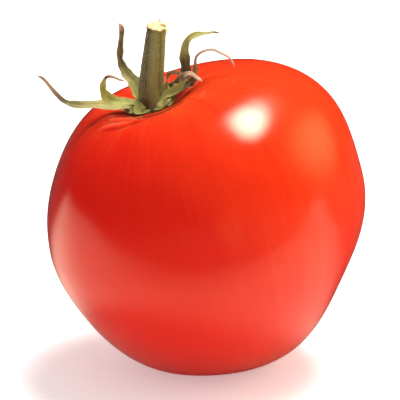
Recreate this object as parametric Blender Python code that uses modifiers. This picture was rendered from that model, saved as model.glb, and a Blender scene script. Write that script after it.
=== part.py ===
"""A ripe round tomato, picked, with its stalk and its calyx of six sepals.

Metres, +Z up. The tomato leans to the left on the small flat spot it rests on, and the
origin is the lowest point of the fruit, in the middle of that spot. The front is -Y.

The fruit, the calyx hub, the stalk and the sepals are shaped in the fruit's own frame, whose
+Z is the line from the blossom end to the stem end, and one empty leans them all together.
"""

import math

import bmesh
import bpy
import numpy as np
from mathutils import Matrix, Vector

MILLIMETRE = 0.001

# Fruit
EQUATOR_RADIUS = 0.0353  # half the width at the widest part
CROWN_HEIGHT = 0.0295  # from the widest part up to the stem end, before it is hollowed
CROWN_SQUARENESS = 2.6  # 2 gives an elliptic outline, more gives a fuller one
BLOSSOM_HEIGHT = 0.0379  # from the widest part down to the blossom end
BLOSSOM_SQUARENESS = 1.85
LOBE_COUNT = 5
LOBE_HEIGHT = 0.0005  # how far the soft lobes of the shoulder stand out
BULGE_HEIGHT = 0.0034  # the shoulder is this much fuller on one side, and less so on the other
BULGE_SIDE = math.radians(10)  # where that shoulder is, seen from above
SHOULDER_ANGLE = math.radians(48)  # the middle of the shoulder, down from the stem end
SHOULDER_SPREAD = math.radians(30)
HOLLOW_DEPTH = 0.0052  # the hollow that the calyx sits in
HOLLOW_RADIUS = 0.0088
HOLLOW_OFFSET = -0.0046  # the hollow lies to the left of the middle
BLOSSOM_DIMPLE_DEPTH = 0.0008
BLOSSOM_DIMPLE_RADIUS = 0.0040
FRUIT_SEGMENTS = 44
FRUIT_RINGS = 40

# How it rests
LEAN_LEFT = math.radians(14)
LEAN_FRONT = math.radians(3)
FLAT_DEPTH = 0.0017  # how much the fruit's own weight flattens it

# Calyx hub, the small cup that the sepals and the stalk grow from
HUB_RADIUS = 0.0032
HUB_THICKNESS = 0.0016
HUB_SEGMENTS = 24
GAP = 0.0003  # between pieces that touch

# Stalk
STALK_FOOT_RADIUS = 0.0026
STALK_TOP_RADIUS = 0.0021
STALK_LENGTH = 0.0182
STALK_BEND = math.radians(23)  # it turns from the fruit's axis to past plumb
STALK_BEND_END = 0.35  # share of its length over which it turns
STALK_POINTS = 12

# Sepals: one row each. "out" is the direction, seen from above, in which it leaves the hub,
# in degrees, and "width" is its width there. "through" is its way from there to its tip: how
# far each point is to the right of the hub's middle, how far behind it and how high over the
# hollow, in millimetres in the fruit's frame.
SEPAL_ROOT_RUN = 0.0010  # it leaves the hub straight for this far, and at this slope
SEPAL_ROOT_LIFT = math.radians(25)
SEPAL_TIP_WIDTH = 0.0007
SEPAL_TAPER = 1.5  # more keeps the blade wide for longer before it narrows to its tip
SEPAL_THICKNESS = 0.0007
SEPAL_CUP = 0.35  # how far the edges rise, as a share of the half width
SEPAL_STATIONS = 20
FINE_STEPS = 40  # steps for each point of a sepal's way, from which its stations are picked
SEPALS = {
    "sepal_left": dict(
        out=181,
        width=0.0026,
        through=[(-9, 0, 1.2), (-17.5, 0.5, 1.5), (-19.5, 1, 4), (-21, 1, 7.7), (-22, 1, 9.3)],
    ),
    "sepal_front_left": dict(
        out=238,
        width=0.0025,
        through=[(-4.5, -4, 1), (-8, -5.5, 3), (-8.5, -6, 5.8), (-6.5, -4.5, 9.4), (-4.5, -3, 8.5)],
    ),
    "sepal_back_left": dict(
        out=120,
        width=0.0027,
        through=[(-1.8, 4.2, 3.5), (-4.2, 6.2, 8.4), (-4, 7, 11.4), (-2.8, 7.5, 14.2), (-2, 8, 17)],
    ),
    "sepal_back_right": dict(
        out=60,
        width=0.0024,
        through=[(4.6, 3.8, 1.8), (9, 4, 2.6), (10, 4, 5.5), (11.5, 4, 9), (14.6, 3.5, 10), (18, 3, 8.8)],
    ),
    "sepal_right": dict(
        out=0,
        width=0.0020,
        through=[(7, 0, 2), (10, -0.5, 3), (12.5, -1, 5.8), (15.7, -1, 7), (19, -1, 4.8), (20.4, -1, 1.4)],
    ),
    "sepal_front_right": dict(
        out=300,
        width=0.0024,
        through=[(4.2, -3.8, 1.8), (8.2, -4.4, 2.8), (10, -5, 4.4), (12.2, -5.5, 1.8)],
    ),
}

SKIN_RED = (0.62, 0.018, 0.008, 1)
LEAF_GREEN = (0.16, 0.20, 0.045, 1)
STALK_GREEN = (0.13, 0.14, 0.05, 1)


def clear_scene():
    for obj in list(bpy.data.objects):
        bpy.data.objects.remove(obj, do_unlink=True)


def new_collection(name):
    collection = bpy.data.collections.new(name)
    bpy.context.scene.collection.children.link(collection)
    return collection


def principled(name, colour, roughness):
    material = bpy.data.materials.new(name)
    material.use_nodes = True
    shader = material.node_tree.nodes["Principled BSDF"]
    shader.inputs["Base Color"].default_value = colour
    shader.inputs["Roughness"].default_value = roughness
    shader.inputs["Metallic"].default_value = 0
    return material


def place(obj, collection, parent=None, material=None):
    """Moves an object into a collection, under a parent, and gives it its material."""
    for other in list(obj.users_collection):
        other.objects.unlink(obj)
    collection.objects.link(obj)
    obj.parent = parent
    if material:
        obj.data.materials.append(material)
    return obj


def bell(distance, spread):
    return math.exp(-((distance / spread) ** 2))


def outline(down):
    """Radius and height of the skin at an angle down from the stem end, seen from the middle:
    half a superellipse above the widest part and half of another below it."""
    above = down < math.pi / 2
    squareness = CROWN_SQUARENESS if above else BLOSSOM_SQUARENESS
    height = CROWN_HEIGHT if above else BLOSSOM_HEIGHT
    out, up = abs(math.sin(down)), math.cos(down)
    reach = ((out / EQUATOR_RADIUS) ** squareness + (abs(up) / height) ** squareness) ** (-1 / squareness)
    return reach * out, reach * up


def fruit_point(down, around):
    """A point of the skin, for an angle down from the stem end and an angle around the axis.

    The shoulder's lobes and bulge are added to the outline, and the hollow and the blossom
    end's dimple are sunk in it, as bells round their own middles.
    """
    radius, z = outline(down)
    shoulder = bell(down - SHOULDER_ANGLE, SHOULDER_SPREAD)
    lobes = LOBE_HEIGHT * math.cos(LOBE_COUNT * around)
    bulge = BULGE_HEIGHT * math.cos(around - BULGE_SIDE)
    radius += shoulder * math.sin(down) * (lobes + bulge)
    x = radius * math.cos(around)
    y = radius * math.sin(around)
    if z > 0:
        z -= HOLLOW_DEPTH * bell(math.hypot(x - HOLLOW_OFFSET, y), HOLLOW_RADIUS)
    else:
        z += BLOSSOM_DIMPLE_DEPTH * bell(radius, BLOSSOM_DIMPLE_RADIUS)
    return Vector((x, y, z))


def make_fruit(collection, cutters, axis, material):
    """A sphere whose points are moved to the skin, cut flat where it rests."""
    bpy.ops.mesh.primitive_uv_sphere_add(segments=FRUIT_SEGMENTS, ring_count=FRUIT_RINGS, radius=1)
    fruit = bpy.context.object
    fruit.name = "fruit"
    for vertex in fruit.data.vertices:
        unit = vertex.co.normalized()
        vertex.co = fruit_point(math.acos(max(-1, min(1, unit.z))), math.atan2(unit.y, unit.x))
    fruit.data.shade_smooth()
    place(fruit, collection, axis, material)

    cutter_side = 4 * EQUATOR_RADIUS
    bpy.ops.mesh.primitive_cube_add(size=cutter_side, location=(0, 0, -cutter_side / 2))
    ground = place(bpy.context.object, cutters)
    ground.name = "ground_cutter"
    ground.hide_render = True
    ground.display_type = "WIRE"
    flatten = fruit.modifiers.new("flat_spot", "BOOLEAN")
    flatten.operation = "DIFFERENCE"
    flatten.object = ground
    return fruit


def resting_matrix():
    """The fruit frame's place: leant over, with its lowest point FLAT_DEPTH under the ground."""
    lean = Matrix.Rotation(-LEAN_LEFT, 4, "Y") @ Matrix.Rotation(LEAN_FRONT, 4, "X")
    steps = 240
    lowest = min(
        (
            lean @ fruit_point(math.pi * row / steps, 2 * math.pi * column / steps)
            for row in range(steps // 2, steps + 1)
            for column in range(steps)
        ),
        key=lambda point: point.z,
    )
    return Matrix.Translation(-lowest - Vector((0, 0, FLAT_DEPTH))) @ lean


def hollow_rise(distance):
    """How far the hollow's floor has risen at a distance from its middle."""
    return HOLLOW_DEPTH * (1 - bell(distance, HOLLOW_RADIUS))


def hub_seat():
    """Where the lowest point of the hub stands in the fruit's frame: just off the hollow's floor."""
    _, crown = outline(math.atan(abs(HOLLOW_OFFSET) / CROWN_HEIGHT))
    return Vector((HOLLOW_OFFSET, 0, crown - HOLLOW_DEPTH + GAP))


def rim_height():
    """The middle of the hub's rim, over the hub's lowest point."""
    return (HUB_THICKNESS + hollow_rise(HUB_RADIUS)) / 2


def make_hub(collection, axis, seat, material):
    """Half an outline spun by a Screw modifier: a flat top, a round rim and an underside
    that follows the hollow."""
    steps = 6
    rim = HUB_THICKNESS - rim_height()
    flat_radius = HUB_RADIUS - rim
    profile = [(0, HUB_THICKNESS)]
    for step in range(steps + 1):
        angle = math.pi / 2 - math.pi * step / steps
        profile.append((flat_radius + rim * math.cos(angle), rim_height() + rim * math.sin(angle)))
    for step in range(1, steps + 1):
        radius = flat_radius * (1 - step / steps)
        profile.append((radius, hollow_rise(radius)))
    mesh = bpy.data.meshes.new("calyx_hub")
    mesh.from_pydata([(x, 0, z) for x, z in profile], [(i, i + 1) for i in range(len(profile) - 1)], [])
    hub = place(bpy.data.objects.new("calyx_hub", mesh), collection, axis, material)
    hub.location = seat
    spin = hub.modifiers.new("turn", "SCREW")
    spin.steps = HUB_SEGMENTS
    spin.render_steps = HUB_SEGMENTS
    spin.use_merge_vertices = True
    spin.merge_threshold = 0.00001
    return hub


def make_stalk(collection, axis, seat, material):
    """A tapered tube that leaves the hub along the fruit's axis and turns up past plumb."""
    step = STALK_LENGTH / (STALK_POINTS - 1)
    point = Vector((0, 0, 0))
    curve = bpy.data.curves.new("stalk", "CURVE")
    curve.dimensions = "3D"
    curve.bevel_depth = STALK_FOOT_RADIUS
    curve.bevel_resolution = 4
    curve.use_fill_caps = True
    spline = curve.splines.new("POLY")
    spline.points.add(STALK_POINTS - 1)
    for number, spline_point in enumerate(spline.points):
        share = number / (STALK_POINTS - 1)
        spline_point.co = (*point, 1)
        spline_point.radius = 1 + share * (STALK_TOP_RADIUS / STALK_FOOT_RADIUS - 1)
        angle = STALK_BEND * min(1, share / STALK_BEND_END)
        point = point + step * Vector((math.sin(angle), 0, math.cos(angle)))
    stalk = place(bpy.data.objects.new("stalk", curve), collection, axis, material)
    stalk.location = seat + Vector((0, 0, HUB_THICKNESS + GAP))
    return stalk


def smooth_path(points, count):
    """Even stations along a curve through the points: on each span a cubic whose end slopes
    come from the points beside it."""
    points = np.array(points, float)
    knots = np.concatenate([[0], np.cumsum(np.linalg.norm(np.diff(points, axis=0), axis=1))])
    slopes = np.gradient(points, knots, axis=0)
    fine = np.linspace(0, knots[-1], FINE_STEPS * len(points))
    span = np.clip(np.searchsorted(knots, fine, side="right") - 1, 0, len(knots) - 2)
    width = (knots[span + 1] - knots[span])[:, None]
    t = (fine - knots[span])[:, None] / width
    curve = (
        (2 * t**3 - 3 * t**2 + 1) * points[span]
        + (t**3 - 2 * t**2 + t) * width * slopes[span]
        + (3 * t**2 - 2 * t**3) * points[span + 1]
        + (t**3 - t**2) * width * slopes[span + 1]
    )
    along = np.concatenate([[0], np.cumsum(np.linalg.norm(np.diff(curve, axis=0), axis=1))])
    stations = np.linspace(0, along[-1], count)
    return np.stack([np.interp(stations, along, curve[:, axis]) for axis in range(3)], axis=1)


def sepal_points(sepal):
    """The sepal's way, from the middle of the hub's rim: its root, its root's end and its own points."""
    around = math.radians(sepal["out"])
    root = HUB_RADIUS + GAP
    points = [
        (radius * math.cos(around), radius * math.sin(around), (radius - root) * math.tan(SEPAL_ROOT_LIFT))
        for radius in (root, root + SEPAL_ROOT_RUN)
    ]
    for right, behind, height in np.array(sepal["through"]) * MILLIMETRE:
        points.append((right, behind, hollow_rise(math.hypot(right, behind)) + height - rim_height()))
    return points


def sepal_frames(sepal):
    """Centre points from root to tip, and at each the directions across the blade and out of
    its face. The direction across starts level with the hub's rim and turns only as the path does."""
    centres = smooth_path(sepal_points(sepal), SEPAL_STATIONS)
    headings = np.gradient(centres, axis=0)
    headings /= np.linalg.norm(headings, axis=1)[:, None]
    around = math.radians(sepal["out"])
    across = [np.array([-math.sin(around), math.cos(around), 0])]
    for heading in headings:
        side = across[-1] - heading * np.dot(across[-1], heading)
        across.append(side / np.linalg.norm(side))
    across = np.array(across[1:])
    return centres, across, np.cross(headings, across)


def make_sepal(name, sepal, collection, axis, seat, material):
    """A pointed, channelled blade: a grid laid along its path, thickened by Solidify."""
    centres, across, faces = sepal_frames(sepal)
    blade = bmesh.new()
    bmesh.ops.create_grid(blade, x_segments=SEPAL_STATIONS - 1, y_segments=2, size=1)
    for vertex in blade.verts:
        station = round((vertex.co.x + 1) / 2 * (SEPAL_STATIONS - 1))
        share = station / (SEPAL_STATIONS - 1)
        width = SEPAL_TIP_WIDTH + (sepal["width"] - SEPAL_TIP_WIDTH) * (1 - share**SEPAL_TAPER)
        side = vertex.co.y * width / 2
        vertex.co = Vector(centres[station] + side * across[station] + SEPAL_CUP * abs(side) * faces[station])
    mesh = bpy.data.meshes.new(name)
    blade.to_mesh(mesh)
    blade.free()
    mesh.shade_smooth()
    obj = place(bpy.data.objects.new(name, mesh), collection, axis, material)
    obj.location = seat + Vector((0, 0, rim_height()))
    thicken = obj.modifiers.new("blade_thickness", "SOLIDIFY")
    thicken.thickness = SEPAL_THICKNESS
    thicken.offset = 0
    return obj


def main():
    clear_scene()
    tomato = new_collection("tomato")
    cutters = new_collection("cutters")
    skin = principled("tomato_skin", SKIN_RED, 0.2)
    leaf = principled("sepal_green", LEAF_GREEN, 0.6)
    bark = principled("stalk_green", STALK_GREEN, 0.65)

    axis = place(bpy.data.objects.new("fruit_axis", None), tomato)
    axis.matrix_world = resting_matrix()
    seat = hub_seat()
    make_fruit(tomato, cutters, axis, skin)
    make_hub(tomato, axis, seat, bark)
    make_stalk(tomato, axis, seat, bark)
    for name, sepal in SEPALS.items():
        make_sepal(name, sepal, tomato, axis, seat, leaf)


main()
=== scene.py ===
import math

import bpy
import numpy as np
from mathutils import Matrix, Vector


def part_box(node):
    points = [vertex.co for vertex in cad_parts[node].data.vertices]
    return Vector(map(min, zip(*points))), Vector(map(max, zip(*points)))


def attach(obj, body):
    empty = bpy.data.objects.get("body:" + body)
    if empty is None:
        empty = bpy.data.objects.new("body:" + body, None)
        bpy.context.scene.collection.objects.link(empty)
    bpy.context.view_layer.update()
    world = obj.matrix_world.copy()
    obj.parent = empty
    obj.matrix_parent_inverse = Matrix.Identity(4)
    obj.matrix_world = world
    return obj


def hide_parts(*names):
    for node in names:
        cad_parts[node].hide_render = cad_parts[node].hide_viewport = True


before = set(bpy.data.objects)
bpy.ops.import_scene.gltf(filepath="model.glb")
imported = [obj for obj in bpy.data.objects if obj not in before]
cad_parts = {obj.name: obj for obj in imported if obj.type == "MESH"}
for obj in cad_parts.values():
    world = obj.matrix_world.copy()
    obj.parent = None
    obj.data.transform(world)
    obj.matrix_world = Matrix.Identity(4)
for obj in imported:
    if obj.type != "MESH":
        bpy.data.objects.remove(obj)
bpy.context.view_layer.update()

millimetre = 0.001
random = np.random.default_rng(7)


def bell(distance, spread):
    return np.exp(-((distance / spread) ** 2))


def ease(value, start, end):  # 0 before start, 1 after end, and a smooth S between them
    t = np.clip((value - start) / (end - start), 0, 1)
    return t * t * (3 - 2 * t)


def unit(vectors):
    return vectors / np.linalg.norm(vectors, axis=-1, keepdims=True)


def fullTurn(count):  # even angles round a circle
    return np.linspace(0, 2 * math.pi, count, endpoint=False)


def angleApart(first, second):
    return np.abs((first - second + math.pi) % (2 * math.pi) - math.pi)


def stacked(*parts):
    return np.stack(np.broadcast_arrays(*parts), axis=-1)


def cylinder(radius, around, height):
    return stacked(radius * np.cos(around), radius * np.sin(around), height)


def waves(points, size, seed, count=9):
    # Smooth noise: the mean of sine waves that run in chance directions, about "size" long
    draw = np.random.default_rng(seed)
    directions = unit(draw.normal(size=(count, 3))) * draw.uniform(0.7, 1.5, (count, 1))
    phases = draw.uniform(0, 2 * math.pi, count)
    return np.sin(points @ directions.T * (2 * math.pi / size) + phases).mean(axis=-1) * math.sqrt(2)


def ringNoise(angle, lowest, highest, seed):
    # A line that closes on itself round a circle: the mean of cosines of whole numbers of turns
    draw = np.random.default_rng(seed)
    turns = np.arange(lowest, highest + 1)
    heights = draw.uniform(0.4, 1, len(turns))
    phases = draw.uniform(0, 2 * math.pi, len(turns))
    waved = np.cos(angle[..., None] * turns + phases) * heights
    return waved.sum(axis=-1) / np.sqrt((heights**2).sum() / 2) / 2


def newObject(name, data):
    made = bpy.data.objects.new(name, data)
    bpy.context.scene.collection.objects.link(made)
    return made


def keepAtPoints(mesh, label, kind, field, values):
    kept = mesh.attributes.new(label, kind, "POINT")
    kept.data.foreach_set(field, values.astype(np.float32).ravel())


def gridMesh(name, points, values, vectors=None):
    # A closed skin on a grid of rows and columns: the columns wrap round, and the first and
    # last rows are each closed on their own middle. values and vectors are kept at each point.
    rows, columns = points.shape[:2]
    ends = np.stack([points[0].mean(axis=0), points[-1].mean(axis=0)])
    corners = np.arange(rows * columns).reshape(rows, columns)
    right = np.roll(corners, -1, axis=1)
    quads = np.stack([corners[:-1], right[:-1], right[1:], corners[1:]], axis=-1).reshape(-1, 4)
    first = np.stack([np.full(columns, rows * columns), right[0], corners[0]], axis=-1)
    last = np.stack([np.full(columns, rows * columns + 1), corners[-1], right[-1]], axis=-1)
    vertices = np.concatenate([points.reshape(-1, 3), ends])
    a, b, c, d = (vertices[quads[:, i]] for i in range(4))
    volume = (a * (np.cross(b, c) + np.cross(c, d))).sum()
    if volume < 0:  # inside out, so every face is turned round
        quads, first, last = quads[:, ::-1], first[:, ::-1], last[:, ::-1]
    mesh = bpy.data.meshes.new(name)
    mesh.from_pydata(vertices.tolist(), [], quads.tolist() + first.tolist() + last.tolist())
    mesh.shade_smooth()
    for label, value in values.items():
        value = np.broadcast_to(value, (rows, columns))
        full = np.concatenate([value.ravel(), [value[0].mean(), value[-1].mean()]])
        keepAtPoints(mesh, label, "FLOAT", "value", full)
    for label, value in (vectors or {}).items():
        full = np.concatenate([value.reshape(-1, 3), value[:1].mean(axis=1), value[-1:].mean(axis=1)])
        keepAtPoints(mesh, label, "FLOAT_VECTOR", "vector", full)
    return newObject(name, mesh)


def gridNormals(points):
    # Outward directions of a grid whose columns wrap round
    down = np.gradient(points, axis=0)
    across = np.roll(points, -1, axis=1) - np.roll(points, 1, axis=1)
    return unit(np.cross(across, down) + 1e-12)


def travelled(points):  # how far along a path each of its points is
    return np.concatenate([[0], np.cumsum(np.linalg.norm(np.diff(points, axis=0), axis=1))])


def smoothPath(points, count):
    # Even stations along a curve through the points: on each span a cubic whose end slopes
    # come from the points beside it
    points = np.array(points, float)
    knots = travelled(points)
    slopes = np.gradient(points, knots, axis=0)
    fine = np.linspace(0, knots[-1], 60 * len(points))
    span = np.clip(np.searchsorted(knots, fine, side="right") - 1, 0, len(knots) - 2)
    width = (knots[span + 1] - knots[span])[:, None]
    t = (fine - knots[span])[:, None] / width
    curve = (
        (2 * t**3 - 3 * t**2 + 1) * points[span]
        + (t**3 - 2 * t**2 + t) * width * slopes[span]
        + (3 * t**2 - 2 * t**3) * points[span + 1]
        + (t**3 - t**2) * width * slopes[span + 1]
    )
    along = travelled(curve)
    stations = np.linspace(0, along[-1], count)
    return np.stack([np.interp(stations, along, curve[:, axis]) for axis in range(3)], axis=1)


def carried(centres, across, twist=0):
    # The direction across a path, carried along it from its start so that it turns only as
    # the path does, then twisted about the path. Gives across and out of the face.
    headings = unit(np.gradient(centres, axis=0))
    sides = [across]
    for heading in headings:
        side = sides[-1] - heading * np.dot(sides[-1], heading)
        sides.append(side / np.linalg.norm(side))
    sides = np.array(sides[1:])
    faces = np.cross(headings, sides)
    turn = np.broadcast_to(twist, len(centres))[:, None]
    return np.cos(turn) * sides + np.sin(turn) * faces, np.cos(turn) * faces - np.sin(turn) * sides


def swept(centres, across, faces, x, y):  # sections whose places across and out are x and y
    return centres[..., None, :] + across[..., None, :] * x[..., None] + faces[..., None, :] * y[..., None]


# The fruit has its own frame: its stem end is +Z, and it leans to the left as it rests
fruitShape = dict(
    equatorRadius=0.0353,
    crownHeight=0.0295,
    crownSquareness=2.6,
    blossomHeight=0.0379,
    blossomSquareness=1.85,
    lobeCount=5,
    lobeHeight=0.0005,
    bulgeHeight=0.0034,
    bulgeSide=math.radians(10),
    shoulderAngle=math.radians(48),
    shoulderSpread=math.radians(30),
    hollowDepth=0.0052,
    hollowRadius=0.0088,
    hollowOffset=-0.0046,
    dimpleDepth=0.0008,
    dimpleRadius=0.0040,
    leanLeft=math.radians(14),
    leanFront=math.radians(3),
    flatDepth=0.0017,
    flatSoftness=0.0005,  # how gently the skin turns into the spot it rests on
    swell=0.00014,  # the height of its broad, uneven swells
    foldHeight=0.00011,  # the fine folds that run out of the hollow
    foldMiddle=0.0085,
    foldSpread=0.0062,
    middleHeight=0.0335,  # where its broad swells and its lit side, for painted light, are measured from
    # the side the lamps face: the skin's red is painted lighter and warmer towards it
    litSide=(0.66, -0.10, 0.74),
)

# Gentle swells round the outline as seen from the front: how many go round, how high each
# is in millimetres, and how many degrees up from the right the first one stands
outlineSwells = [(2, 0.30, 69), (3, 0.13, 3), (5, 0.31, 10), (6, 0.46, 8)]

# Single creases and ridges that run out of the hollow: the side they lie on in degrees, their
# width in degrees, how far they stand out in millimetres, and where they start and end,
# in millimetres from the hollow's middle
creases = [
    (352, 6.0, -0.26, 5.5, 15.0),
    (12, 5.0, 0.22, 5.5, 15.0),
    (48, 6.0, -0.26, 5.5, 16.0),
    (72, 5.0, 0.16, 5.5, 15.0),
    (95, 7.0, -0.24, 5.5, 17.0),
    (112, 6.0, 0.20, 5.5, 16.0),
    (140, 7.0, -0.22, 5.5, 16.0),
    (158, 5.0, 0.16, 5.5, 17.0),
]

# Folds of skin that run round the front of the hollow: the directions where each starts and
# ends, its distances from the hollow's middle there in millimetres, its width and its height
lips = [
    (186, 262, 8.8, 11.2, 1.0, 0.14),
    (204, 256, 11.4, 12.3, 0.7, -0.15),
    (216, 248, 14.3, 13.2, 0.7, 0.22),
    (222, 262, 15.7, 13.8, 0.75, -0.28),
    (250, 280, 13.3, 15.0, 0.8, -0.14),
    (176, 204, 14.5, 13.0, 1.0, -0.18),
]

# A groove along the front of a circle, darkened with painted shade: which way the circle's middle lies from
# the hollow's in degrees, how far, its radius, and the groove's width and depth, in millimetres
shadedGroove = dict(towards=280, away=6.4, radius=5.4, width=1.1, depth=0.4)


def outline(down):
    # Half a superellipse above the widest part and half of another below it
    shape = fruitShape
    above = down < math.pi / 2
    squareness = np.where(above, shape["crownSquareness"], shape["blossomSquareness"])
    height = np.where(above, shape["crownHeight"], shape["blossomHeight"])
    out, up = np.abs(np.sin(down)), np.cos(down)
    wide, tall = out / shape["equatorRadius"], np.abs(up) / height
    reach = (wide**squareness + tall**squareness) ** (-1 / squareness)
    return reach * out, reach * up


def skinPoints(down, around):
    # The outline turned round the axis, with the shoulder's lobes and bulge added and the
    # hollow and the blossom end's dimple sunk, as bells round their own middles
    shape = fruitShape
    radius, z = outline(down)
    shoulder = bell(down - shape["shoulderAngle"], shape["shoulderSpread"])
    lobes = shape["lobeHeight"] * np.cos(shape["lobeCount"] * around)
    bulge = shape["bulgeHeight"] * np.cos(around - shape["bulgeSide"])
    radius = radius + shoulder * np.sin(down) * (lobes + bulge)
    x, y = radius * np.cos(around), radius * np.sin(around)
    hollow = shape["hollowDepth"] * bell(np.hypot(x - shape["hollowOffset"], y), shape["hollowRadius"])
    dimple = shape["dimpleDepth"] * bell(radius, shape["dimpleRadius"])
    return np.stack([x, y, z - np.where(z > 0, hollow, -dimple)], axis=-1)


def leaning():
    # The turn about Y after the turn about X, as one 3 by 3 matrix
    left, front = fruitShape["leanLeft"], fruitShape["leanFront"]
    cosine, sine = math.cos(left), math.sin(left)
    aboutY = np.array([[cosine, 0, -sine], [0, 1, 0], [sine, 0, cosine]])
    cosine, sine = math.cos(front), math.sin(front)
    aboutX = np.array([[1, 0, 0], [0, cosine, -sine], [0, sine, cosine]])
    return aboutY @ aboutX


def restingOffset():
    # Brings the lowest point of the skin to flatDepth under the surface it rests on
    steps = 240
    lower = np.linspace(math.pi / 2, math.pi, steps // 2 + 1)
    down, around = np.meshgrid(lower, np.arange(steps) * 2 * math.pi / steps)
    points = skinPoints(down.ravel(), around.ravel()) @ leaning().T
    return -points[points[:, 2].argmin()] - np.array([0, 0, fruitShape["flatDepth"]])


lean = leaning()
offset = restingOffset()


def toWorld(points):
    return points @ lean.T + offset


def hollowRise(distance):  # how far the hollow's floor has risen at a distance from its middle
    return fruitShape["hollowDepth"] * (1 - bell(distance, fruitShape["hollowRadius"]))


def outwards(world):
    return unit(world - np.array([0, 0, fruitShape["middleHeight"]]))


def swollen(world):
    # Each point moves away from the fruit's middle. With one turn round the front view as
    # the angle t, a swell is its height times the cosine of count times (t less its start),
    # and it fades to nothing at the front and the back.
    outward = outwards(world)
    turned = outward[..., 0] + 1j * outward[..., 2]
    height = 0
    for count, tall, start in outlineSwells:
        wave = (turned**count * np.exp(-1j * math.radians(start) * count)).real
        height = height + tall * millimetre * wave
    return world + outward * height[..., None]


def creaseHeights(side, distance):
    # Each crease is a bell across its own direction, eased in and out along its length
    fadeIn, fadeOut = 0.003, 0.007
    height = 0
    for degrees, width, tall, start, end in creases:
        wander = 0.05 * np.sin(distance * 420 + degrees)
        apart = angleApart(side + wander, math.radians(degrees))
        start, end = start * millimetre, end * millimetre
        along = ease(distance, start, start + fadeIn) * (1 - ease(distance, end - fadeOut, end))
        height = height + tall * millimetre * bell(apart, math.radians(width)) * along
    return height


def lipHeights(side, distance):
    # Each lip is a bell across its way, which eases in and out over a fifth of its turn
    height = 0
    for start, end, near, far, width, tall in lips:
        share = (side % (2 * math.pi) - math.radians(start)) / math.radians(end - start)
        wander = 0.25 * np.sin(share * 11 + start)
        apart = distance / millimetre - near - (far - near) * share - wander
        along = ease(share, 0, 0.22) * (1 - ease(share, 0.78, 1))
        height = height + tall * millimetre * bell(apart, width) * along
    return height


def shadedGrooveBell(fromHollow):
    # A bell across the groove's circle, eased in over the circle's front half.
    # It sinks the groove and masks its painted shade
    around = math.radians(shadedGroove["towards"])
    ahead = np.array([math.cos(around), math.sin(around)])
    apart = fromHollow - ahead * shadedGroove["away"] * millimetre
    reach = np.linalg.norm(apart, axis=-1) / millimetre
    front = ease((apart @ ahead) / (reach * millimetre), 0.05, 0.75)
    return bell(reach - shadedGroove["radius"], shadedGroove["width"]) * front


def makeFruit():
    # The fruit's own formula on a fine grid, with broad swells, with creases and fine folds
    # round the hollow, all pushed out from the middle, then flattened where it rests:
    # height = half of (z + the root of (z squared + softness squared))
    shape = fruitShape
    rows, columns = 210, 440
    pole = 0.004  # the angle left open at each end
    down = np.linspace(0, 1, rows)[:, None] ** 0.9 * (math.pi - 2 * pole) + pole
    down, around = np.broadcast_arrays(down, fullTurn(columns))
    points = skinPoints(down, around)
    fromHollow = points[..., :2] - np.array([shape["hollowOffset"], 0])
    distance = np.linalg.norm(fromHollow, axis=-1)
    side = np.arctan2(fromHollow[..., 1], fromHollow[..., 0])
    above = points[..., 2] > 0
    folds = ringNoise(side + 0.15 * waves(points, 0.02, 5), 9, 34, 11)
    folds = np.where(above, folds * bell(distance - shape["foldMiddle"], shape["foldSpread"]), 0)
    groove = np.where(above, shadedGrooveBell(fromHollow), 0)
    deep = np.where(above, creaseHeights(side, distance) + lipHeights(side, distance), 0)
    deep = deep - shadedGroove["depth"] * millimetre * groove
    swells = waves(points, 0.040, 3) + 0.25 * waves(points, 0.016, 4)
    raised = shape["swell"] * swells + shape["foldHeight"] * folds + deep
    points = points + unit(points) * raised[..., None]
    world = swollen(toWorld(points))
    softness = shape["flatSoftness"]
    world[..., 2] = (world[..., 2] + np.sqrt(world[..., 2] ** 2 + softness**2)) / 2
    litFacing = outwards(world) @ unit(np.array(shape["litSide"]))
    bottom = math.pi - down
    values = {
        "shoulder": np.where(above, 1 - ease(distance, 0.004, 0.026), 0),
        # the stem scar's darker ring, deepened with painted shade in the hollow under the calyx
        "collarShade": np.where(above, 1 - ease(distance, 0.0045, 0.0088), 0),
        "blossom": 1 - ease(bottom + 0.012 * ringNoise(around, 3, 9, 21), 0.02, 0.075),
        # how far each point faces the lit side, for painted light in the skin
        "warmthAndLight": ease(litFacing, -0.35, 1.0),
        "crease": deep / millimetre,
        # where the groove under the calyx is darkened with painted shade
        "shadedGroove": groove,
    }
    meridian = cylinder(1, around, down * 0.25)
    return gridMesh("tomato_fruit", world, values, {"meridian": meridian})


calyxShape = dict(
    hubRadius=0.0032,
    hubThickness=0.0016,
    gap=0.0003,
    rootRun=0.0010,
    rootDepth=0.0009,  # how far a sepal's root is sunk into the hub
    rootLift=math.radians(25),
    armReach=0.0016,  # how far the hub runs out into each sepal
    armSpread=0.45,  # radians
    bladeThickness=0.00052,
    edgeThickness=0.00018,
    threadRadius=0.00023,
    shredThickness=0.00026,
)
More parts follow.
